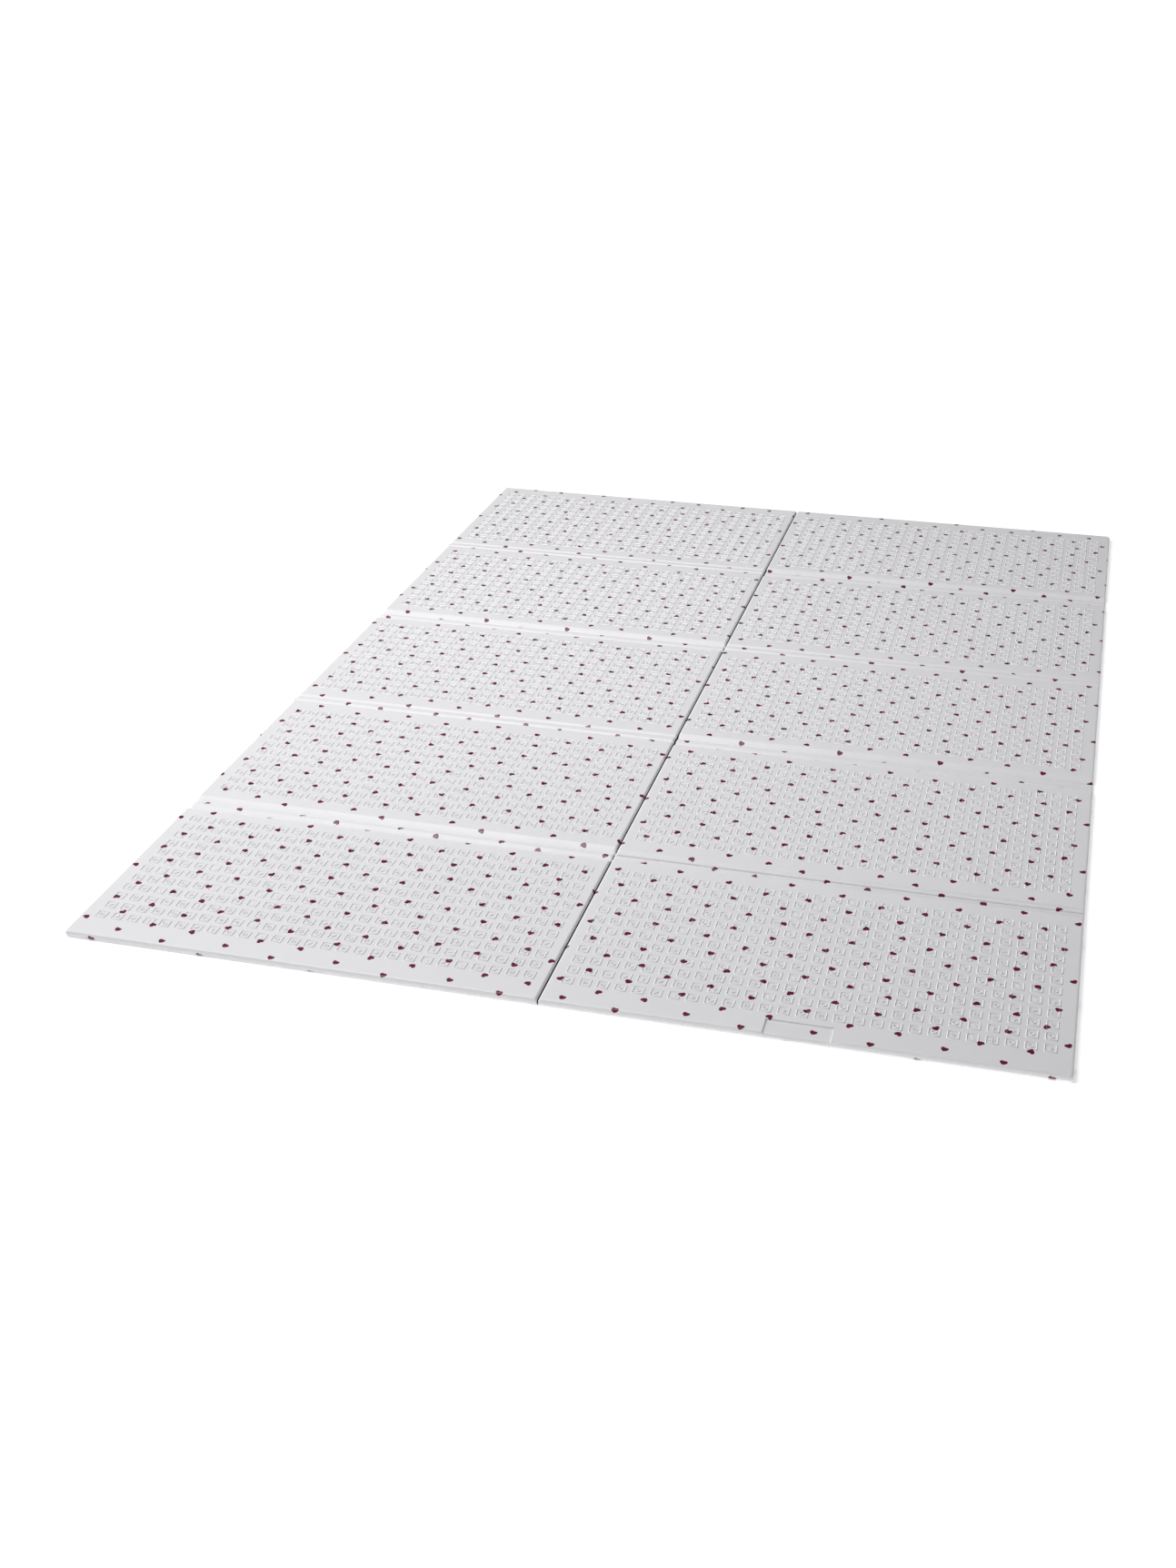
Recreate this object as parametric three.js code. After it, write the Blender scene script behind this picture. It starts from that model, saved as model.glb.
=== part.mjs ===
import * as THREE from 'three';

// Folding foam play mat, lying flat. Millimetres, +Z up.
// X runs across the width, Y from the near edge to the far one, z = 0 is the underside.
// The mat is one pressed foam sheet with a film on both faces: two columns of five
// panels, with four pressed folds between the rows and one slit between the columns.

const WIDTH = 1500;
const DEPTH = 2000;
const THICKNESS = 10;
const ROWS = 5;

// The rim is rounded over, and the corners are cut round in plan.
const RIM_RADIUS = 5;
const RIM_MIDDLE = 0.4;
const FAR_RIGHT_CORNER = 10;

// A fold is two creases with a spine between them, two thicknesses wide.
const SPINE = 2 * THICKNESS;
const CREASE_WEB = 1.2;

// Open side of a fold: a broad trough with a low ridge along the spine.
const OPEN_DEPTH = 6.8;
const OPEN_RIDGE = 2.5;
const OPEN_SHOULDER = 13;
const OPEN_CURVE = 1.5;

// Closed side of a fold: two narrow grooves with the spine flush between them.
const CLOSED_DEPTH = THICKNESS - OPEN_DEPTH - CREASE_WEB;
const CLOSED_HALF_WIDTH = 3.2;

// The slit between the two columns leaves a thin web along the underside.
const SLIT_WEB = 1.2;
const SLIT_FLOOR = 2.3;
const SLIT_WALL = 2.9;
const SLIT_LIP = 4.2;
const SLIT_LIP_DROP = 0.16;
const UNDERSIDE_STOP = 5.5;

// Shallow pressed rectangle at the near edge of the right column.
const RECESS_LEFT = 325;
const RECESS_RIGHT = 422;
const RECESS_REACH = 31;
const RECESS_DEPTH = 1.5;
const RECESS_WALL = 1;

// Equal panels with a spine between each two: the fold lines run along the spines' middles.
const PANEL = (DEPTH - (ROWS - 1) * SPINE) / ROWS;
const FOLDS = Array.from({ length: ROWS - 1 }, (_, k) => ({
  y: -DEPTH / 2 + PANEL + SPINE / 2 + k * (PANEL + SPINE),
  opensUpOnLeft: k % 2 === 0,
}));

// Depth of a fold's open side at a distance from the fold line.
function openDepth(distance) {
  const u = Math.abs(distance) - SPINE / 2;
  if (u >= OPEN_SHOULDER) return 0;
  if (u >= 0) return OPEN_DEPTH * (1 - u / OPEN_SHOULDER) ** OPEN_CURVE;
  return OPEN_RIDGE + (OPEN_DEPTH - OPEN_RIDGE) * (1 + u / (SPINE / 2)) ** OPEN_CURVE;
}

// Depth of a fold's closed side at a distance from the fold line.
function closedDepth(distance) {
  const u = Math.abs(Math.abs(distance) - SPINE / 2);
  return u >= CLOSED_HALF_WIDTH ? 0 : CLOSED_DEPTH * (1 - u / CLOSED_HALF_WIDTH);
}

// Depth that all folds together take from the upper or the lower face of one column.
function foldDepth(y, column, upper) {
  let depth = 0;
  for (const fold of FOLDS) {
    const opensUp = fold.opensUpOnLeft === (column < 0);
    const profile = opensUp === upper ? openDepth : closedDepth;
    depth = Math.max(depth, profile(y - fold.y));
  }
  return depth;
}

// 0 below the first value, 1 above the second, straight between them.
function ramp(value, from, to) {
  return Math.min(1, Math.max(0, (value - from) / (to - from)));
}

// How far the slit cuts down at a distance from the centre line, as a share of the depth.
function slitShare(distance) {
  if (distance >= SLIT_WALL) return SLIT_LIP_DROP * (1 - ramp(distance, SLIT_WALL, SLIT_LIP));
  return 1 - (1 - SLIT_LIP_DROP) * ramp(distance, SLIT_FLOOR, SLIT_WALL);
}

// Depth of the pressed rectangle.
function recessDepth(x, y) {
  const across = ramp(x, RECESS_LEFT, RECESS_LEFT + RECESS_WALL)
    * (1 - ramp(x, RECESS_RIGHT - RECESS_WALL, RECESS_RIGHT));
  const far = -DEPTH / 2 + RECESS_REACH;
  return RECESS_DEPTH * across * (1 - ramp(y, far - RECESS_WALL, far));
}

// Heights of the upper and lower faces before the rim is rounded.
function faceHeights(x, y) {
  const column = Math.sign(x);
  const upper = THICKNESS - foldDepth(y, column, true) - recessDepth(x, y);
  const top = upper + (SLIT_WEB - upper) * slitShare(Math.abs(x));
  const bottom = foldDepth(y, column, false) * ramp(Math.abs(x), SLIT_LIP, UNDERSIDE_STOP);
  return { top, bottom };
}

// Lines that the rim's curve is drawn with, as insets from the outline.
const RIM_INSETS = [0, 0.7, 2.2, RIM_RADIUS, FAR_RIGHT_CORNER];

// Lines that a fold's curves are drawn with, as distances from the fold line.
const GROOVE_LINES = [SPINE / 2 - CLOSED_HALF_WIDTH, SPINE / 2, SPINE / 2 + CLOSED_HALF_WIDTH];
const FOLD_LINES = [0, 3.5, ...GROOVE_LINES, 17, SPINE / 2 + OPEN_SHOULDER];

function sorted(values) {
  return [...new Set(values)].sort((a, b) => a - b);
}

function acrossLines() {
  const slit = [0, SLIT_FLOOR, SLIT_WALL, SLIT_LIP, UNDERSIDE_STOP];
  const rim = RIM_INSETS.map((inset) => WIDTH / 2 - inset);
  const recess = [RECESS_LEFT, RECESS_LEFT + RECESS_WALL, RECESS_RIGHT - RECESS_WALL, RECESS_RIGHT];
  const both = [...slit, ...rim];
  return sorted([...both, ...both.map((x) => -x), ...recess]);
}

function alongLines() {
  const lines = [];
  for (const fold of FOLDS) {
    for (const distance of FOLD_LINES) lines.push(fold.y + distance, fold.y - distance);
  }
  for (const inset of RIM_INSETS) lines.push(DEPTH / 2 - inset, inset - DEPTH / 2);
  const far = RECESS_REACH - DEPTH / 2;
  return sorted([...lines, far - RECESS_WALL, far]);
}

// Rounds a corner in plan: the rings of a square are pulled in to rings of a quarter disc.
function roundCorner(x, y) {
  const radius = x > 0 && y > 0 ? FAR_RIGHT_CORNER : RIM_RADIUS;
  const a = (Math.abs(x) - (WIDTH / 2 - radius)) / radius;
  const b = (Math.abs(y) - (DEPTH / 2 - radius)) / radius;
  if (a <= 0 || b <= 0) return [x, y];
  const pull = Math.max(a, b) / Math.hypot(a, b);
  const newX = WIDTH / 2 - radius + a * pull * radius;
  const newY = DEPTH / 2 - radius + b * pull * radius;
  return [Math.sign(x) * newX, Math.sign(y) * newY];
}

// Share of the half thickness left at an inset from the outline: a quarter round.
function rimShare(x, y) {
  const inset = Math.min(WIDTH / 2 - Math.abs(x), DEPTH / 2 - Math.abs(y));
  const t = 1 - Math.min(1, inset / RIM_RADIUS);
  return Math.sqrt(1 - t * t);
}

// One closed sheet: an upper and a lower grid that share the points of the outline.
function matGeometry() {
  const xs = acrossLines();
  const ys = alongLines();
  const points = [];
  const upper = [];
  const lower = [];
  for (const y of ys) {
    for (const x of xs) {
      const { top, bottom } = faceHeights(x, y);
      const middle = bottom + RIM_MIDDLE * (top - bottom);
      const share = rimShare(x, y);
      const [px, py] = roundCorner(x, y);
      upper.push(points.length / 3);
      points.push(px, py, middle + share * (top - middle));
      if (share === 0) {
        lower.push(upper[upper.length - 1]);
      } else {
        lower.push(points.length / 3);
        points.push(px, py, middle + share * (bottom - middle));
      }
    }
  }

  const faces = [];
  for (let j = 0; j + 1 < ys.length; j += 1) {
    for (let i = 0; i + 1 < xs.length; i += 1) {
      const a = j * xs.length + i;
      const b = a + 1;
      const c = b + xs.length;
      const d = a + xs.length;
      faces.push(upper[a], upper[b], upper[c], upper[a], upper[c], upper[d]);
      faces.push(lower[a], lower[c], lower[b], lower[a], lower[d], lower[c]);
    }
  }

  const geometry = new THREE.BufferGeometry();
  geometry.setAttribute('position', new THREE.Float32BufferAttribute(points, 3));
  geometry.setIndex(faces);
  geometry.computeVertexNormals();
  return geometry;
}

const film = new THREE.MeshStandardMaterial({ color: 0xe9e7ea, roughness: 0.42, metalness: 0 });
const mat = new THREE.Mesh(matGeometry(), film);
mat.name = 'mat_sheet';

const playMat = new THREE.Group();
playMat.add(mat);

export default playMat;
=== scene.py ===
import bpy
import numpy as np
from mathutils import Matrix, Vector


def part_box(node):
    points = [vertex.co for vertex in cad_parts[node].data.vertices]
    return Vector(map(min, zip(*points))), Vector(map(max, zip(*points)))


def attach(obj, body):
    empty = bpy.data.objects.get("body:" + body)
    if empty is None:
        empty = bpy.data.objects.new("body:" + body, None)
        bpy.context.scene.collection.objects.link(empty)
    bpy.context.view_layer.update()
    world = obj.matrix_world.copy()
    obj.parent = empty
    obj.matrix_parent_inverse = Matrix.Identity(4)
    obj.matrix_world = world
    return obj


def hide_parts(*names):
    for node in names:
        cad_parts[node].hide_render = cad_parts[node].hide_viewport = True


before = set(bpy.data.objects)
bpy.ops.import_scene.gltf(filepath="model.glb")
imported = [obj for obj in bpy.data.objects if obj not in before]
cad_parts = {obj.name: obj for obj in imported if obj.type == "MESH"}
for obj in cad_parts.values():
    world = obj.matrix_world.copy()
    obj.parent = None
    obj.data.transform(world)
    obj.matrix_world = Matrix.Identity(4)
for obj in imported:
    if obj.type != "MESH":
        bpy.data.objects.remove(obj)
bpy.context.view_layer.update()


# The sheet's form.
# One foam sheet, 10 mm thick, with a satin film fused to both faces. A heated mould presses
# two columns of five panels into it, with a fold between each two rows, a slit between the
# columns, a shallow rectangle at the near edge and a round rim. Sizes are in millimetres.
low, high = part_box("mat_sheet")
WIDTH, DEPTH, THICKNESS = (round(1000 * side, 3) for side in high - low)
ROWS = 5
RIM_RADIUS = 5
RIM_CURVE = 3.2
RIM_MIDDLE = 0.4
FAR_RIGHT_CORNER = 10

SPINE = 20
OPEN_DEPTH = 6.6
OPEN_RIDGE = 2.7
OPEN_SHOULDER = 13
SHOULDER_CURVE = 1.15
RIDGE_CURVE = 1.5
CLOSED_DEPTH = 2.6
CLOSED_HALF_WIDTH = 4.2
PINCH_DEPTH = 3.2
PINCH_HALF_WIDTH = 2.2

SLIT_WEB = 1.2
SLIT_FLOOR = 0.8
SLIT_WALL = 1.1
SLIT_LIP = 4.6
SLIT_LIP_DROP = 0.34
SLIT_LIP_CURVE = 1.6
UNDERSIDE_STOP = 5.5

RECESS_LEFT = 325
RECESS_RIGHT = 422
RECESS_REACH = 31
RECESS_DEPTH = 2.2
RECESS_WALL = 1

PANEL = (DEPTH - (ROWS - 1) * SPINE) / ROWS
FOLDS = [PANEL + SPINE / 2 - DEPTH / 2 + k * (PANEL + SPINE) for k in range(ROWS - 1)]


def ramp(value, start, end):
    """0 up to start, 1 from end on, and straight between them."""
    return np.clip((value - start) / (end - start), 0, 1)


def open_depth(distance):
    """Depth of a fold's open side: a trough that is deepest at its two creases.

    Outside a crease the depth falls as a power of the share of the shoulder still to go.
    Inside, it falls in the same way to a low ridge along the fold's middle line."""
    outside = np.abs(distance) - SPINE / 2
    shoulder = OPEN_DEPTH * np.clip(1 - outside / OPEN_SHOULDER, 0, 1) ** SHOULDER_CURVE
    inward = np.clip(1 + outside / (SPINE / 2), 0, 1) ** RIDGE_CURVE
    return np.where(outside >= 0, shoulder, OPEN_RIDGE + (OPEN_DEPTH - OPEN_RIDGE) * inward)


def closed_depth(distance):
    """Depth of a fold's closed side: a straight-sided groove at each of the two creases."""
    off_crease = np.abs(np.abs(distance) - SPINE / 2)
    return CLOSED_DEPTH * np.clip(1 - off_crease / CLOSED_HALF_WIDTH, 0, 1)


def fold_depth(y, column, upper):
    """Depth that all folds take from one face. They turn over from row to row, and the right
    column is the other way up from the left one. The right column's first fold has a narrow
    pinch beside its middle line too."""
    depth = np.zeros_like(y)
    for k, line in enumerate(FOLDS):
        opens_up = (k % 2 == 0) == (column < 0)
        profile = open_depth if opens_up == upper else closed_depth
        depth = np.maximum(depth, profile(y - line))
        if k == 0 and column > 0 and upper:
            off_pinch = np.abs(y - line + PINCH_HALF_WIDTH)
            depth = np.maximum(depth, PINCH_DEPTH * (1 - off_pinch / PINCH_HALF_WIDTH))
    return depth


def slit_share(distance):
    """Share of the thickness that the slit takes: all of it on the narrow floor, steeply less
    up the wall, and a rounded drop over the lip."""
    wall = 1 - (1 - SLIT_LIP_DROP) * ramp(distance, SLIT_FLOOR, SLIT_WALL)
    lip = SLIT_LIP_DROP * (1 - ramp(distance, SLIT_WALL, SLIT_LIP)) ** SLIT_LIP_CURVE
    return np.where(distance >= SLIT_WALL, lip, wall)


def recess_depth(x, y):
    """Depth of the pressed rectangle: a flat floor with short straight walls on three sides."""
    across = ramp(x, RECESS_LEFT, RECESS_LEFT + RECESS_WALL)
    across = across * (1 - ramp(x, RECESS_RIGHT - RECESS_WALL, RECESS_RIGHT))
    far = RECESS_REACH - DEPTH / 2
    return RECESS_DEPTH * across * (1 - ramp(y, far - RECESS_WALL, far))


def rim_share(inset):
    """Share of the half thickness left at an inset from the outline: a quarter round that is
    squarer than a circle, where the powers of both shares add up to one."""
    return (1 - (1 - np.clip(inset / RIM_RADIUS, 0, 1)) ** RIM_CURVE) ** (1 / RIM_CURVE)


def face_heights(x, y, column):
    """Heights of the upper and the lower face, with the rim rounded towards its middle."""
    upper = THICKNESS - fold_depth(y, column, True) - recess_depth(x, y)
    top = upper + (SLIT_WEB - upper) * slit_share(np.abs(x))
    bottom = fold_depth(y, column, False) * ramp(np.abs(x), SLIT_LIP, UNDERSIDE_STOP)
    middle = bottom + RIM_MIDDLE * (top - bottom)
    share = rim_share(np.minimum(WIDTH / 2 - np.abs(x), DEPTH / 2 - np.abs(y)))
    return middle + share * (top - middle), middle + share * (bottom - middle)


def round_corner(x, y):
    """Plan places with the corners cut round: each square ring round a corner's centre is
    pulled in to a circle."""
    radius = np.where((x > 0) & (y > 0), FAR_RIGHT_CORNER, RIM_RADIUS)
    a = (np.abs(x) - (WIDTH / 2 - radius)) / radius
    b = (np.abs(y) - (DEPTH / 2 - radius)) / radius
    inside = (a <= 0) | (b <= 0)
    pull = np.maximum(a, b) / np.where(inside, 1, np.hypot(a, b))
    new_x = np.sign(x) * (WIDTH / 2 - radius + a * pull * radius)
    new_y = np.sign(y) * (DEPTH / 2 - radius + b * pull * radius)
    return np.where(inside, x, new_x), np.where(inside, y, new_y)


# The raised squares.
# The mould also raises rows of small squares on every panel, each a thin ridge round a plain
# mark such as a ring, a star or a bar. They are part of the same film and foam. Each is drawn
# with rings of twelve points, from the cell's border in to its middle.
CELL_WIDE = 26.45
CELL_LONG = 26.3
CELL_COLUMNS = 27
CELL_ROWS = 12
CELLS_START = 15.6
CELL_KNEE = 7.5
RIDGE_HEIGHT = 1.2
SQUARE_RINGS = [(9.1, 0), (7.9, 1), (6.7, 0)]
SQUARE_CORNER = 1.2
MARK_SIZE = 4.7
BAR_WIDTH = 0.26
TURN = 2 * np.pi


def ring_angles():
    """Twelve even angles, from the far right corner on and anticlockwise."""
    return TURN / 8 + TURN / 12 * np.arange(12)


def four_sides(side):
    """Twelve points: the three of one side, turned on by a quarter three times."""
    quarter = np.array([[0, -1], [1, 0]])
    sides = [side]
    for _ in range(3):
        sides.append(sides[-1] @ quarter.T)
    return np.concatenate(sides)


def square_ring(half):
    """A square of twelve points: each corner and the two ends of its rounding."""
    knee = half - SQUARE_CORNER
    corner = half - SQUARE_CORNER * (1 - np.sqrt(0.5))
    return four_sides(np.array([[corner, corner], [knee, half], [-knee, half]]))


def polygon_ring(sides, turn):
    """A polygon of twelve points: the radius is the inner one over the cosine of the angle
    to the middle of the nearest side."""
    step = TURN / sides
    off_middle = (ring_angles() - turn) % step - step / 2
    radius = np.cos(step / 2) / np.cos(off_middle)
    return radius[:, None] * np.stack([np.cos(ring_angles()), np.sin(ring_angles())], 1)


def star_ring(tip_width, waist):
    """A cross or a star with four arms: two points at each tip and one at each waist."""
    return four_sides(np.array([[waist, waist], [tip_width, 1.0], [-tip_width, 1.0]]))


def bar_ring(turn):
    """A bar with round ends: a circle squeezed across and then turned. The twelve points are
    turned back first, so that each stays on the side of the mark where its angle is."""
    own = ring_angles() - turn
    bar = np.stack([np.cos(own), BAR_WIDTH * np.sin(own)], 1)
    across = np.array([[np.cos(turn), -np.sin(turn)], [np.sin(turn), np.cos(turn)]])
    return bar @ across.T


# Each mark: its outline, the widths of its three rings as shares of it, and their heights.
HOLLOW = ([1.0, 0.8, 0.6], [0, 0.7, 0], 0)
SOLID = ([1.0, 0.72, 0.3], [0, 0.7, 0.7], 0.7)
MARKS = [
    (polygon_ring(12, 0), HOLLOW),
    (polygon_ring(3, TURN / 4), HOLLOW),
    (polygon_ring(4, TURN / 4), HOLLOW),
    (polygon_ring(4, TURN / 8) * 0.95, HOLLOW),
    (polygon_ring(3, -TURN / 4), HOLLOW),
    (polygon_ring(6, 0), HOLLOW),
    (star_ring(0.26, 0.24), SOLID),
    (star_ring(0.1, 0.3), SOLID),
    (bar_ring(0), SOLID),
    (bar_ring(TURN / 8), SOLID),
    (bar_ring(-TURN / 8), SOLID),
    (bar_ring(TURN / 4), SOLID),
]


def cell_points(centres, kinds):
    """Points of every cell: three rings of the square, three of its mark, and the middle.

    A point's place is its cell's centre and its ring's outline, and its height is a share of
    the ridge's height above the panel."""
    square = [np.c_[square_ring(half), np.full(12, rise)] for half, rise in SQUARE_RINGS]
    shapes = []
    for outline, (shares, rises, middle) in MARKS:
        rings = [np.c_[outline * MARK_SIZE * s, np.full(12, r)] for s, r in zip(shares, rises)]
        shapes.append(np.concatenate([*square, *rings, [[0, 0, middle]]]))
    points = np.array(shapes)[kinds] * [1, 1, RIDGE_HEIGHT]
    points[:, :, :2] += centres[:, None]
    points[:, :, 2] += THICKNESS
    return points


# The printed film.
# A satin film, white with small dark red hearts that are tossed about and repeat, printed
# before the pressing. It runs on over the folds and the raised squares and wraps round the
# rim. The hearts are laid out in print millimetres, which the piece's own Print map holds.
REPEAT = (179.2, 149.4)
REPEAT_START = (1.7, 64.6)
HEART_WIDE = 10.8
HEART_HIGH = 9.45

# Each heart's place in the repeat, in millimetres, and its turn in degrees.
HEARTS = [
    (34, -3.5, -20), (114, -15, -12), (0, -32, -15), (66.5, -40.5, 195), (123.5, -53.5, 160),
    (165.5, -73.5, 210), (52.5, -81, 168), (114.5, -96.5, -22), (18, -110, 28),
    (80, -129, 217), (148.5, -132.5, 150),
]

# The pressing stretches and turns each column's film a little. Across and along, the print
# place gains these shares of x and of y, and a shift in millimetres.
PRINT_DRIFT = {
    -1: ((0.0066, 0.0211, 16.1), (0.0133, -0.0038, -1.0)),
    1: ((-0.0085, -0.0061, -3.3), (-0.0130, 0.0043, 8.4)),
}

FILM_WHITE = (0.80, 0.795, 0.815, 1)
FILM_SHADE = (0.77, 0.765, 0.79, 1)
INK_DARK = (0.105, 0.006, 0.019, 1)
INK_LIGHT = (0.18, 0.010, 0.034, 1)
FILM_ROUGHNESS = (0.38, 0.50)
INK_GLOSS = 0.08
# The two greys of the painted shade in the slit's cut, which has only deep shadow on the real mat.
SLIT_SHADE_DARK = (0.05, 0.05, 0.048, 1)
SLIT_SHADE_LIGHT = (0.16, 0.155, 0.15, 1)

# Each noise of the film: its scale, with places in metres, and its detail. A bump has its
# strength and its height in metres too.
CLOUD = (9.0, 3.0)
SHEEN = (45.0, 4.0)
INK_GRAIN = (300.0, 2.0)
PEBBLE = (900.0, 2.0)
PEBBLE_BUMP = (0.35, 0.00006)
WAVES = (22.0, 1.0)
WAVES_BUMP = (0.5, 0.0008)

# Half the width and the height of the heart formula's own curve, and how far up its middle is.
HEART_CURVE = (1.139, 1.118)
HEART_MIDDLE = 0.12


def add_node(tree, kind, inputs=(), **settings):
    """Adds a node, gives it its settings, and sets or links its inputs by name or number."""
    node = tree.nodes.new("ShaderNode" + kind)
    for name, value in settings.items():
        setattr(node, name, value)
    for socket, value in dict(inputs).items():
        if isinstance(value, bpy.types.NodeSocket):
            tree.links.new(value, node.inputs[socket])
        else:
            node.inputs[socket].default_value = value
    return node


def math(tree, operation, a, b):
    """The result of one operation on two values."""
    return add_node(tree, "Math", {0: a, 1: b}, operation=operation).outputs[0]


def map_range(tree, value, start, end, first, last):
    """The first value up to start, the last one from end on, and straight between them."""
    inputs = {0: value, 1: start, 2: end, 3: first, 4: last}
    return add_node(tree, "MapRange", inputs).outputs[0]


def heart_group():
    """A group that is 1 inside a heart and 0 outside it. With x across it and y up it, the
    heart is where the cube of (x squared + y squared - 1) is less than x squared times the
    cube of y."""
    tree = bpy.data.node_groups.new("heart_shape", "ShaderNodeTree")
    tree.interface.new_socket("Place", in_out="INPUT", socket_type="NodeSocketVector")
    tree.interface.new_socket("Ink", in_out="OUTPUT", socket_type="NodeSocketFloat")
    place = tree.nodes.new("NodeGroupInput").outputs[0]
    parts = add_node(tree, "SeparateXYZ", {0: place})
    x, y = parts.outputs[0], parts.outputs[1]
    xx, yy = math(tree, "MULTIPLY", x, x), math(tree, "MULTIPLY", y, y)
    over = math(tree, "SUBTRACT", math(tree, "ADD", xx, yy), 1.0)
    cube = math(tree, "MULTIPLY", math(tree, "MULTIPLY", over, over), over)
    lobes = math(tree, "MULTIPLY", math(tree, "MULTIPLY", xx, yy), y)
    ink = math(tree, "LESS_THAN", cube, lobes)
    tree.links.new(ink, tree.nodes.new("NodeGroupOutput").inputs[0])
    return tree


def ink_of_hearts(tree, heart):
    """1 where any heart of the repeat prints. Each heart's centre is taken away, the rest is
    wrapped to the nearest repeat, and then turned and sized to the heart's own axes."""
    place = add_node(tree, "UVMap", uv_map="Print").outputs[0]
    place = add_node(tree, "VectorMath", {0: place, "Scale": 1000.0}, operation="SCALE").outputs[0]
    half = (REPEAT[0] / 2, REPEAT[1] / 2, 1.0)
    size = (HEART_WIDE / 2 / HEART_CURVE[0], HEART_HIGH / 2 / HEART_CURVE[1], 1.0)
    ink = 0.0
    for x, y, turn in HEARTS:
        centre = (REPEAT_START[0] + x, REPEAT_START[1] + y, 0.0)
        off = add_node(tree, "VectorMath", {0: place, 1: centre}, operation="SUBTRACT").outputs[0]
        near = add_node(tree, "VectorMath", {0: off, 1: half, 2: [-side for side in half]},
                        operation="WRAP").outputs[0]
        own = add_node(tree, "Mapping", {"Vector": near, "Rotation": (0, 0, np.radians(turn)),
                                         "Scale": size}, vector_type="TEXTURE").outputs[0]
        own = add_node(tree, "VectorMath", {0: own, 1: (0, HEART_MIDDLE, 0)},
                       operation="ADD").outputs[0]
        shape = add_node(tree, "Group", {}, node_tree=heart)
        tree.links.new(own, shape.inputs[0])
        ink = math(tree, "MAXIMUM", ink, shape.outputs[0])
    return ink


def film_material(name, heart):
    """Satin film on foam: a faint cloud in its white, a fine pebble and slow waves in its
    surface, and ink that is a little glossier where hearts are printed."""
    material = bpy.data.materials.new(name)
    material.use_nodes = True
    tree = material.node_tree
    shader = tree.nodes["Principled BSDF"]
    here = add_node(tree, "TexCoord").outputs["Object"]

    def noise(scale, detail):
        return add_node(tree, "TexNoise", {"Vector": here, "Scale": scale, "Detail": detail,
                                           "Roughness": 0.5}).outputs["Fac"]

    def mix(share, a, b):
        node = add_node(tree, "Mix", {}, data_type="RGBA")
        for socket, value in (("Factor_Float", share), ("A_Color", a), ("B_Color", b)):
            found = next(s for s in node.inputs if s.identifier == socket)
            if isinstance(value, bpy.types.NodeSocket):
                tree.links.new(value, found)
            else:
                found.default_value = value
        return next(s for s in node.outputs if s.identifier == "Result_Color")

    colour = mix(noise(*CLOUD), FILM_WHITE, FILM_SHADE)
    rough = map_range(tree, noise(*SHEEN), 0, 1, *FILM_ROUGHNESS)
    if heart:
        ink = ink_of_hearts(tree, heart)
        colour = mix(ink, colour, mix(noise(*INK_GRAIN), INK_DARK, INK_LIGHT))
        gloss = math(tree, "MULTIPLY", ink, INK_GLOSS)
        rough = math(tree, "SUBTRACT", rough, gloss)
    tree.links.new(colour, shader.inputs["Base Color"])
    tree.links.new(rough, shader.inputs["Roughness"])
    shader.inputs["IOR"].default_value = 1.48

    pebble = add_node(tree, "Bump", {"Height": noise(*PEBBLE), "Strength": PEBBLE_BUMP[0],
                                     "Distance": PEBBLE_BUMP[1]})
    waves = add_node(tree, "Bump", {"Height": noise(*WAVES), "Strength": WAVES_BUMP[0],
                                    "Distance": WAVES_BUMP[1], "Normal": pebble.outputs[0]})
    tree.links.new(waves.outputs[0], shader.inputs["Normal"])
    return material


def painted_slit_shade_material():
    """Painted shade in the slit's cut: a dull dark grey with a fine grain, for the deep shadow
    there.
    """
    material = bpy.data.materials.new("painted_slit_shade")
    material.use_nodes = True
    tree = material.node_tree
    shader = tree.nodes["Principled BSDF"]
    here = add_node(tree, "TexCoord").outputs["Object"]
    grain = add_node(tree, "TexNoise", {"Vector": here, "Scale": 700.0, "Detail": 2.0})
    grey = add_node(tree, "ValToRGB", {"Fac": grain.outputs["Fac"]})
    grey.color_ramp.elements[0].color = SLIT_SHADE_DARK
    grey.color_ramp.elements[1].color = SLIT_SHADE_LIGHT
    tree.links.new(grey.outputs["Color"], shader.inputs["Base Color"])
    shader.inputs["Roughness"].default_value = 0.85
    return material


printed_film = film_material("printed_film", heart_group())
plain_film = film_material("plain_film", None)
# The slit's cut gets painted shade: a dark grey for its deep shadow.
painted_slit_shade = painted_slit_shade_material()


# The ten blocks of the sheet.
# The sheet is one pressed piece. It is built as ten closed blocks, one to a panel, that meet
# face to face under the folds' middle lines and under the slit, each with its part of the
# folds, slit and rim, its raised squares, its film and its own map for baking.
SLIT_STEPS = [0, 0.8, 0.95, 1.1, 1.6, 2.3, 3.1, 3.9, 4.6, 5.5, 8]
RIM_STEPS = [0, 0.1, 0.35, 0.8, 1.4, 2.2, 3.2, 4.2, 5, 6.5, 8.4, 10]
FOLD_STEPS = [0, 2, 4, 5.8, 7, 8.4, 9.5, 10, 10.5, 11.6, 13, 14.2, 16, 18, 20, 21.5, 23, 25]
RECESS_STEPS = [RECESS_REACH - RECESS_WALL, RECESS_REACH, RECESS_REACH + 1]

# The cell whose left border is nearest the pressed rectangle's left wall, counted from 0, and
# the length over which the lines that are moved to its walls ease back.
RECESS_CELL = 12
RECESS_EASE = 7

# Places in the bake's unit square. The upper face hangs from the top and the lower face stands
# at the bottom, with strips for the near and the far wall between them and a strip for the
# slit's wall beside the lower face. The two scales are for each millimetre of a wall's height.
BAKE_MARGIN = 0.008
UNDERSIDE_TOP = 0.43
NEAR_STRIP = 0.438
FAR_STRIP = 0.448
SLIT_STRIP = 0.9
WALL_SCALE = 0.0004
SLIT_SCALE = 0.002
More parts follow.
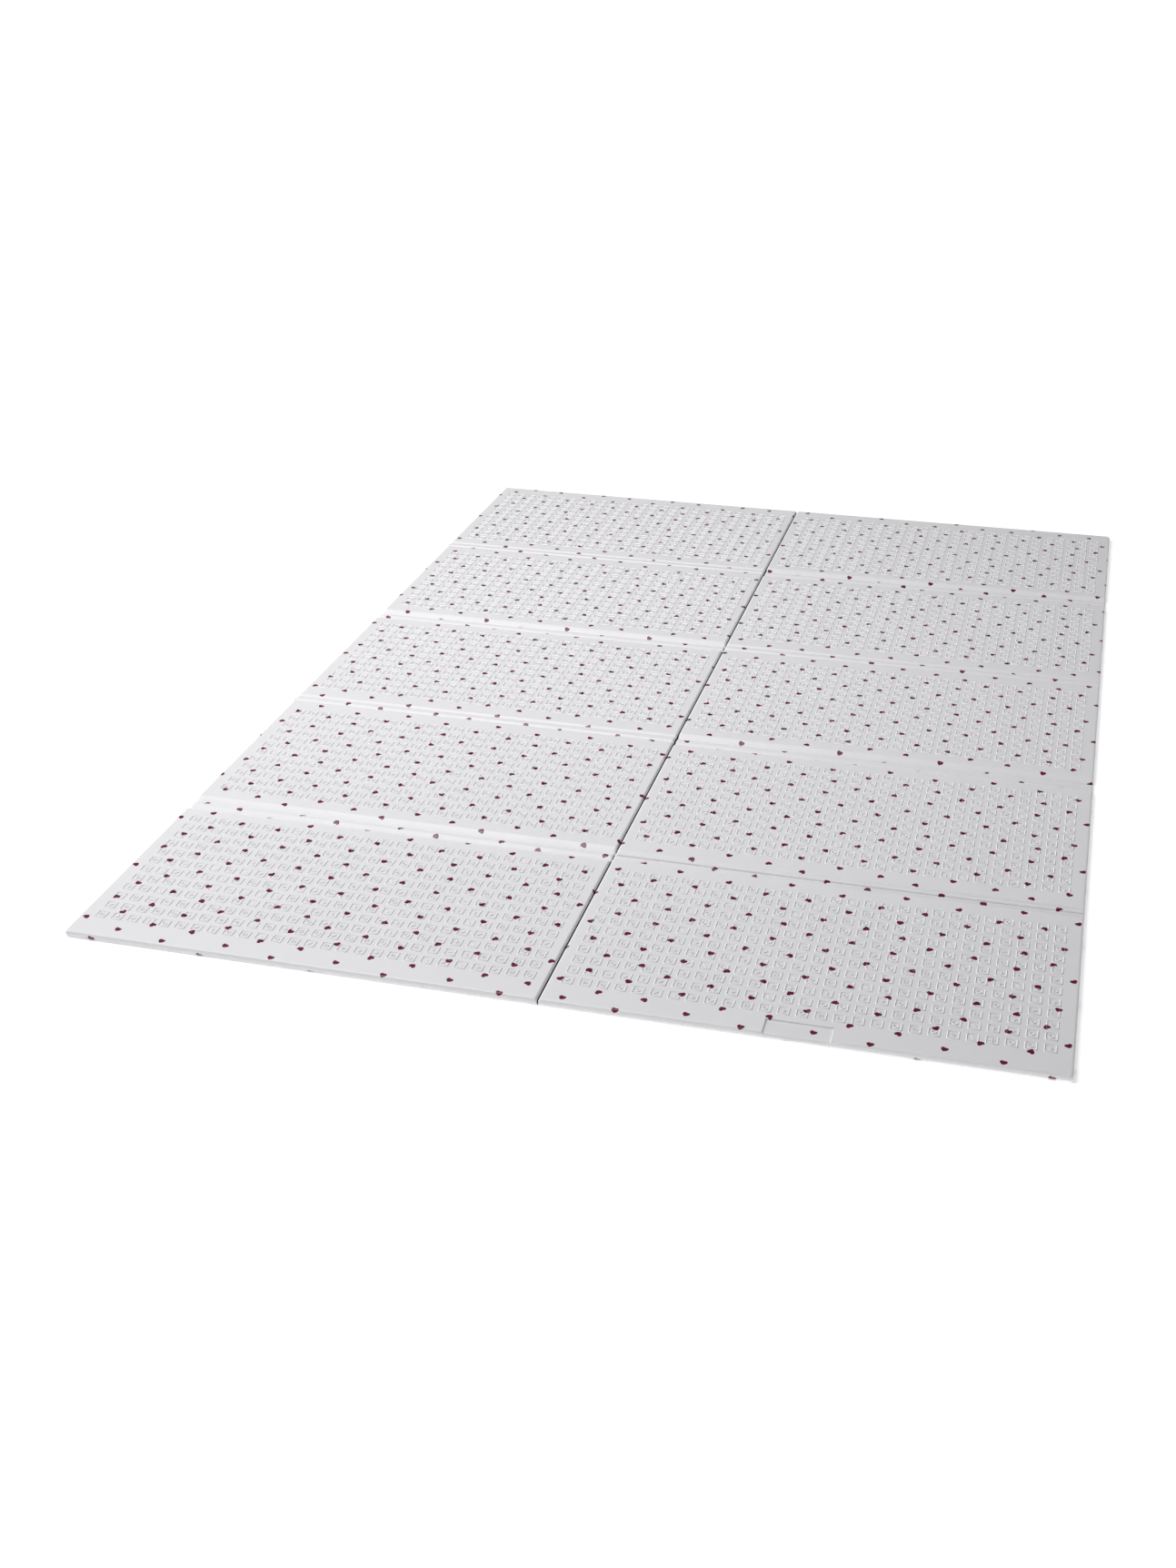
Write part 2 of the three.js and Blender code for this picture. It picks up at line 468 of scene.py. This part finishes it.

# The materials in their slots' order, the last being painted shade for the slit's cut, the slot of
# each group of faces that isn't the printed film, the groups that are shaded flat, and the angle in
# degrees that makes any edge crisp.
MATERIALS = [printed_film, plain_film, painted_slit_shade]
GROUP_SLOTS = {"cut": 2, "under": 1, "near_wall": 1, "far_wall": 1, "slit_wall": 1}
FLAT_GROUPS = ("cells", "near_wall", "far_wall", "slit_wall")
SHARP_ANGLE = 28


def cell_lines(start, pitch, count):
    """Grid lines of the cells: each cell's border, and one line on either side of its middle."""
    borders = start + pitch * np.arange(count)
    inner = [borders, borders + pitch / 2 - CELL_KNEE, borders + pitch / 2 + CELL_KNEE]
    return np.append(np.stack(inner, 1).ravel(), start + pitch * count)


def block_lines(row, column):
    """Grid lines of a block across and along, and the number of the first cell line in each."""
    cells = cell_lines(CELLS_START, CELL_WIDE, CELL_COLUMNS)
    outwards = np.concatenate([SLIT_STEPS, cells, WIDTH / 2 - np.array(RIM_STEPS[::-1])])
    xs = outwards if column > 0 else -outwards[::-1]
    first_x = len(SLIT_STEPS) if column > 0 else len(RIM_STEPS)

    ends = []
    for side in (-1, 1):
        if row == (0 if side < 0 else ROWS - 1):
            steps = RIM_STEPS + (RECESS_STEPS if side < 0 else [])
            ends.append(side * (DEPTH / 2 - np.array(steps)))
        else:
            ends.append(FOLDS[row - (side < 0)] - side * np.array(FOLD_STEPS))
    middle = (ends[0][0] + ends[1][0]) / 2
    half = CELL_LONG * CELL_ROWS / 2
    cells = cell_lines(middle - half, CELL_LONG, CELL_ROWS)
    ys = np.concatenate([ends[0], cells, ends[1][::-1]])
    return xs, ys, first_x, len(ends[0])


def bent_to_recess(x, y):
    """The four grid lines nearest the pressed rectangle's two side walls, moved onto them in
    front of the cells and eased back to their own places before the first row of cells."""
    walls = [RECESS_LEFT, RECESS_LEFT + RECESS_WALL, RECESS_RIGHT - RECESS_WALL, RECESS_RIGHT]
    line = CELLS_START + CELL_WIDE * RECESS_CELL
    middle = CELLS_START + CELL_WIDE * (RECESS_CELL + 3.5)
    nearest = [line - CELL_WIDE / 2 + CELL_KNEE, line, middle - CELL_KNEE, middle + CELL_KNEE]
    start = RECESS_REACH + 1 - DEPTH / 2
    share = 1 - ramp(y, start, start + RECESS_EASE)
    for old, new in zip(nearest, walls):
        x = np.where(np.abs(x - old) < 0.01, old + (new - old) * share, x)
    return x


def rim_length(inset, rise):
    """Length along the rim's quarter round from the outline to an inset, step by step."""
    steps = np.linspace(0, RIM_RADIUS, 400)
    lengths = np.hypot(np.diff(steps), np.diff(rise * rim_share(steps)))
    return np.interp(inset, steps, np.append(0, np.cumsum(lengths)))


def print_place(place, size, under=False):
    """Print place of a plan place along one axis: the same on the flat, and the length along
    the rim from the outline's start of rounding, over the edge and on below it."""
    inset = size / 2 - np.abs(place)
    top = rim_length(np.full_like(inset, RIM_RADIUS), THICKNESS * (1 - RIM_MIDDLE))
    if under:
        wrapped = size / 2 - RIM_RADIUS + top + rim_length(inset, THICKNESS * RIM_MIDDLE)
    else:
        wrapped = size / 2 - RIM_RADIUS + top - rim_length(inset, THICKNESS * (1 - RIM_MIDDLE))
    return np.where(inset < RIM_RADIUS, np.sign(place) * wrapped, place)


def unrolled(lines, heights, start):
    """Length along a face's profile, counted both ways from the line with this number."""
    along = np.append(0, np.cumsum(np.hypot(np.diff(lines), np.diff(heights))))
    return along - along[start] + lines[start]


def grid_faces(numbers, keep, upwards):
    """Four-cornered faces between a grid's neighbouring points, where keep is true."""
    corners = [numbers[:-1, :-1], numbers[:-1, 1:], numbers[1:, 1:], numbers[1:, :-1]]
    quads = np.stack(corners if upwards else corners[::-1], -1)
    return quads[keep]


def cell_faces(border, rings):
    """Faces of the cells: bands from each ring of twelve to the next, and a fan to the middle."""
    around = np.concatenate([border[:, None], rings[:, :-1].reshape(len(rings), -1, 12)], 1)
    ahead = np.roll(around, -1, axis=2)
    bands = np.stack([around[:, :-1], ahead[:, :-1], ahead[:, 1:], around[:, 1:]], -1)
    middle = np.repeat(rings[:, -1:], 12, axis=1)
    fan = np.stack([around[:, -1], ahead[:, -1], middle], -1)
    return bands.reshape(-1, 4), fan.reshape(-1, 3)


def wall_faces(under, over):
    """Faces of a flat end wall between a row of lower and of upper points, outwards if the
    points run anticlockwise. A face that meets the outline's shared point has three corners."""
    quads = np.stack([under[:-1], under[1:], over[1:], over[:-1]], -1)
    last = quads[:, 1] == quads[:, 2]
    first = quads[:, 0] == quads[:, 3]
    threes = np.concatenate([quads[last][:, [0, 1, 3]], quads[first][:, :3]])
    return quads[~last & ~first], threes


def bake_maps(over_place, under_place, height):
    """Each group's places in the bake's square, from its upper and lower unrolled places."""
    u, v = over_place
    scale = (1 - 2 * BAKE_MARGIN) / u.max()
    over = np.stack([BAKE_MARGIN + u * scale, 1 - BAKE_MARGIN + (v - v.max()) * scale], 1)
    u, v = under_place
    scale = (UNDERSIDE_TOP - BAKE_MARGIN) / v.max()
    below = np.stack([BAKE_MARGIN + (u.max() - u) * scale, BAKE_MARGIN + v * scale], 1)
    return {
        "top": over, "cells": over, "cut": over,
        "under": below, "under_rim_x": below, "under_rim_y": below,
        "near_wall": np.stack([over[:, 0], NEAR_STRIP + WALL_SCALE * height], 1),
        "far_wall": np.stack([over[:, 0], FAR_STRIP + WALL_SCALE * height], 1),
        "slit_wall": np.stack([SLIT_STRIP + SLIT_SCALE * height, below[:, 1]], 1),
    }


def print_maps(x, y, column):
    """Each group's print places in millimetres, with the column's drift."""
    flat = np.stack([x, y], 1)
    on_top = np.stack([print_place(x, WIDTH), print_place(y, DEPTH)], 1)
    printed = {
        "top": on_top, "cells": on_top, "cut": on_top, "under": flat,
        "under_rim_x": np.stack([print_place(x, WIDTH, True), y], 1),
        "under_rim_y": np.stack([x, print_place(y, DEPTH, True)], 1),
        "near_wall": flat, "far_wall": flat, "slit_wall": flat,
    }
    drift = np.array(PRINT_DRIFT[column])
    for group, places in printed.items():
        printed[group] = places + places @ drift[:, :2].T + drift[:, 2]
    return printed


def block_mesh(name, points, groups, bake, printed):
    """A mesh from groups of faces, with each group's material, shading and places in both
    maps. The points are in millimetres, and the mesh and its Print map are in metres."""
    faces = [(group, part) for group, parts in groups.items() for part in parts if len(part)]
    corners = np.concatenate([part.ravel() for _, part in faces])
    sides = np.concatenate([np.full(len(part), part.shape[1]) for _, part in faces])
    slots = np.concatenate([np.full(len(part), GROUP_SLOTS.get(group, 0)) for group, part in faces])
    smooth = np.concatenate([np.full(len(part), group not in FLAT_GROUPS) for group, part in faces])
    mesh = bpy.data.meshes.new(name)
    mesh.vertices.add(len(points))
    mesh.vertices.foreach_set("co", (points / 1000).astype(np.float32).ravel())
    mesh.loops.add(len(corners))
    mesh.loops.foreach_set("vertex_index", corners.astype(np.int32))
    mesh.polygons.add(len(sides))
    mesh.polygons.foreach_set("loop_start", (np.cumsum(sides) - sides).astype(np.int32))
    mesh.polygons.foreach_set("material_index", slots.astype(np.int32))
    mesh.polygons.foreach_set("use_smooth", smooth)
    mesh.update(calc_edges=True)
    mesh.set_sharp_from_angle(angle=np.radians(SHARP_ANGLE))
    for layer, maps, scale in (("OFBake", bake, 1), ("Print", printed, 0.001)):
        places = np.concatenate([maps[group][part.ravel()] for group, part in faces]) * scale
        mesh.uv_layers.new(name=layer).uv.foreach_set("vector", places.astype(np.float32).ravel())
    for material in MATERIALS:
        mesh.materials.append(material)
    if mesh.validate():
        raise ValueError(name + " has faulty faces")
    return mesh


def panel_block(name, row, column, seed):
    """One closed block: an upper grid with its cells, a lower grid that shares the points of
    the mat's outline, and flat end walls where it meets its neighbours."""
    xs, ys, first_x, first_y = block_lines(row, column)
    x, y = np.meshgrid(xs, ys)
    if row == 0 and column > 0:
        x = bent_to_recess(x, y)
    top, bottom = face_heights(x, y, column)
    plan_x, plan_y = round_corner(x, y)

    # Number the points: the upper grid without the cells' insides, the lower grid, the cells.
    # A cell's border runs anticlockwise from its far right corner, as its rings do.
    step_x, step_y = np.arange(len(xs)) - first_x, np.arange(len(ys)) - first_y
    in_x = (step_x > 0) & (step_x < 3 * CELL_COLUMNS) & (step_x % 3 > 0)
    in_y = (step_y > 0) & (step_y < 3 * CELL_ROWS) & (step_y % 3 > 0)
    shown = ~(in_y[:, None] & in_x)
    outline = np.minimum(WIDTH / 2 - np.abs(x), DEPTH / 2 - np.abs(y)) < 1e-6
    upper = np.cumsum(shown).reshape(shown.shape) - 1
    lower = shown.sum() - 1 + np.cumsum(~outline).reshape(outline.shape)
    lower = np.where(outline, upper, lower)
    count = shown.sum() + (~outline).sum()

    cell_x = first_x + 3 * np.arange(CELL_COLUMNS)
    cell_y = first_y + 3 * np.arange(CELL_ROWS)
    corner_y, corner_x = (grid.ravel() for grid in np.meshgrid(cell_y, cell_x, indexing="ij"))
    border_x = np.array([3, 2, 1, 0, 0, 0, 0, 1, 2, 3, 3, 3])
    border_y = np.roll(border_x, 3)
    border = upper[corner_y[:, None] + border_y, corner_x[:, None] + border_x]
    centres = np.stack([xs[corner_x] + CELL_WIDE / 2, ys[corner_y] + CELL_LONG / 2], 1)
    kinds = np.random.default_rng(seed).integers(0, len(MARKS), len(centres))
    cells = cell_points(centres, kinds)
    rings = count + np.arange(cells[:, :, 0].size).reshape(cells.shape[:2])

    flat_cells = cells.reshape(-1, 3)
    points = np.concatenate([
        np.stack([plan_x[shown], plan_y[shown], top[shown]], 1),
        np.stack([plan_x[~outline], plan_y[~outline], bottom[~outline]], 1),
        flat_cells,
    ])
    place_x = np.concatenate([x[shown], x[~outline], flat_cells[:, 0]])
    place_y = np.concatenate([y[shown], y[~outline], flat_cells[:, 1]])

    # Sort the faces into groups that differ in material, shading and maps.
    celled = np.zeros((len(ys) - 1, len(xs) - 1), bool)
    celled[cell_y[0]:cell_y[-1] + 3, cell_x[0]:cell_x[-1] + 3] = True
    rim_x = np.abs(xs[:-1] + xs[1:]) / 2 > WIDTH / 2 - RIM_RADIUS
    rim_y = np.abs(ys[:-1] + ys[1:]) / 2 > DEPTH / 2 - RIM_RADIUS
    rim_y = np.repeat(rim_y[:, None], len(rim_x), axis=1)
    rim_x = rim_x & ~rim_y
    # The faces of the slit's floor and the foot of its walls, which take the painted shade.
    cut = np.abs(xs[:-1] + xs[1:]) / 2 < SLIT_WALL
    bands, fans = cell_faces(border, rings)
    groups = {
        "top": [grid_faces(upper, ~celled & ~cut, True)],
        "cut": [grid_faces(upper, ~celled & cut, True)],
        "cells": [bands, fans],
        "under": [grid_faces(lower, ~rim_x & ~rim_y, False)],
        "under_rim_x": [grid_faces(lower, rim_x, False)],
        "under_rim_y": [grid_faces(lower, rim_y, False)],
    }
    if row > 0:
        groups["near_wall"] = wall_faces(lower[0], upper[0])
    if row < ROWS - 1:
        groups["far_wall"] = wall_faces(lower[-1, ::-1], upper[-1, ::-1])
    seam = 0 if column > 0 else -1
    turn = -1 if column > 0 else 1
    groups["slit_wall"] = wall_faces(lower[::turn, seam], upper[::turn, seam])

    # Unroll both faces along the profiles in their middles, for the bake.
    def unrolled_places(face):
        along_x = unrolled(xs, face[len(ys) // 2], first_x)
        along_y = unrolled(ys, face[:, len(xs) // 2], first_y)
        u = np.interp(place_x, xs, along_x - along_x[0])
        v = np.interp(place_y, ys, along_y - along_y[0])
        return u, v

    bake = bake_maps(unrolled_places(top), unrolled_places(bottom), points[:, 2])
    mesh = block_mesh(name, points, groups, bake, print_maps(place_x, place_y, column))
    block = bpy.data.objects.new(name, mesh)
    bpy.context.scene.collection.objects.link(block)
    return block


for row in range(ROWS):
    for column, side in ((-1, "left"), (1, "right")):
        block = panel_block(f"panel_{side}_{row + 1}", row, column, 10 * row + column + 2)
        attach(block, "root")
        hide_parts("mat_sheet")


# The studio.
# A plain white round sweep: a floor that curves up into a wall far away all round. The wall
# darkens towards its top, so that it adds little light. One soft box stands high on the left
# and one hangs overhead.
SWEEP_RADIUS = 15.0
SWEEP_BEND = 2.0
SWEEP_HIGH = 5.0
FLOOR_GAP = 0.0002
SWEEP_WHITE = 0.93
WORLD_GLOW = 0.02

# The sweep's own light, as ranges: two places in metres, and the light at each of them.
SIDE_GLOW = (-0.9, 0.9, 0.26, 0.5)
FAR_GLOW = (0.05, 1.2, 0.0, 0.9)
WALL_FADE = (1.6, 4.4, 1.0, 0.12)


def sweep_mesh(name):
    """The profile of a flat floor, a quarter circle and a straight wall, turned all round."""
    turn = np.linspace(0, np.pi / 2, 17)
    reach = np.concatenate([[0, SWEEP_RADIUS / 2], SWEEP_RADIUS + SWEEP_BEND * np.sin(turn)])
    reach = np.append(reach, reach[-1])
    rise = np.concatenate([[0, 0], SWEEP_BEND * (1 - np.cos(turn)), [SWEEP_HIGH]]) - FLOOR_GAP
    around = np.linspace(0, TURN, 97)[:-1]
    x, y = np.outer(reach[1:], np.cos(around)), np.outer(reach[1:], np.sin(around))
    z = np.repeat(rise[1:, None], len(around), axis=1)
    points = np.concatenate([[[0, 0, rise[0]]], np.stack([x, y, z], -1).reshape(-1, 3)])
    inner = 1 + np.arange(x[:-1].size).reshape(len(x) - 1, -1)
    outer = inner + len(around)
    bands = np.stack([inner, outer, np.roll(outer, -1, 1), np.roll(inner, -1, 1)], -1)
    fan = np.stack([np.zeros(len(around), int), inner[0], np.roll(inner[0], -1)], -1)
    mesh = bpy.data.meshes.new(name)
    mesh.from_pydata(points.tolist(), [], bands.reshape(-1, 4).tolist() + fan.tolist())
    mesh.polygons.foreach_set("use_smooth", np.full(len(mesh.polygons), True))
    return mesh


def white_sweep_material():
    """A matt white paint that is lit from within, so that it stays white: more on the right,
    which the soft boxes reach less, and more with the distance from the mat's outline. Both
    the paint and its light fade towards the top of the wall."""
    material = bpy.data.materials.new("white_paint")
    material.use_nodes = True
    tree = material.node_tree
    shader = tree.nodes["Principled BSDF"]
    shader.inputs["Roughness"].default_value = 0.9
    shader.inputs["Specular IOR Level"].default_value = 0.1
    shader.inputs["Emission Color"].default_value = (1, 1, 1, 1)
    place = add_node(tree, "TexCoord").outputs["Object"]
    here = add_node(tree, "VectorMath", {0: place}, operation="ABSOLUTE").outputs[0]
    half = (WIDTH / 2000, DEPTH / 2000, 0)
    off = add_node(tree, "VectorMath", {0: here, 1: half}, operation="SUBTRACT").outputs[0]
    off = add_node(tree, "VectorMath", {0: off, 1: (0, 0, 0)}, operation="MAXIMUM").outputs[0]
    away = add_node(tree, "VectorMath", {0: off}, operation="LENGTH").outputs["Value"]
    parts = add_node(tree, "SeparateXYZ", {0: place}).outputs
    side = map_range(tree, parts[0], *SIDE_GLOW)
    glow = math(tree, "ADD", side, map_range(tree, away, *FAR_GLOW))
    fade = map_range(tree, parts[2], *WALL_FADE)
    glow = math(tree, "MULTIPLY", math(tree, "MINIMUM", glow, 1.0), fade)
    paint = math(tree, "MULTIPLY", fade, SWEEP_WHITE)
    tree.links.new(paint, shader.inputs["Base Color"])
    tree.links.new(glow, shader.inputs["Emission Strength"])
    material.cycles.emission_sampling = "NONE"
    return material


sweep = bpy.data.objects.new("sweep", sweep_mesh("sweep"))
sweep.data.materials.append(white_sweep_material())
bpy.context.scene.collection.objects.link(sweep)


def soft_box(name, place, target, size, power):
    """A square area light at a place, turned to face a target."""
    light = bpy.data.lights.new(name, "AREA")
    light.shape = "SQUARE"
    light.size = size
    light.energy = power
    lamp = bpy.data.objects.new(name, light)
    bpy.context.scene.collection.objects.link(lamp)
    lamp.location = place
    aim = Vector(target) - Vector(place)
    lamp.rotation_euler = aim.to_track_quat("-Z", "Y").to_euler()
    return lamp


soft_box("soft_box_left", (-8.0, 0.0, 6.0), (0, 0, 0), 3.0, 460)
soft_box("soft_box_above", (-1.2, -0.2, 3.1), (0, 0, 0), 1.6, 78)

world = bpy.data.worlds.new("studio")
bpy.context.scene.world = world
world.use_nodes = True
world.node_tree.nodes["Background"].inputs["Color"].default_value = (1, 1, 1, 1)
world.node_tree.nodes["Background"].inputs["Strength"].default_value = WORLD_GLOW
bpy.context.scene.view_settings.view_transform = "Standard"


# The camera.
# It stands where the photograph was taken from: 2.8 m in front of the mat's middle, a little
# to the right and 1.4 m up, looking 30 degrees down and 13 degrees to the left.
CAMERA_PLACE = (0.671, -2.763, 1.442)
CAMERA_TURN = (60.0, 0.0, 12.99)
CAMERA_LENS = 37.73
CAMERA_SHIFT = -0.0832
lens = bpy.data.cameras.new("camera")
lens.sensor_width = 36.0
lens.lens = CAMERA_LENS
lens.shift_x = CAMERA_SHIFT
lens.clip_end = 200.0
camera = bpy.data.objects.new("camera", lens)
bpy.context.scene.collection.objects.link(camera)
camera.location = CAMERA_PLACE
camera.rotation_euler = np.radians(CAMERA_TURN)
bpy.context.scene.camera = camera
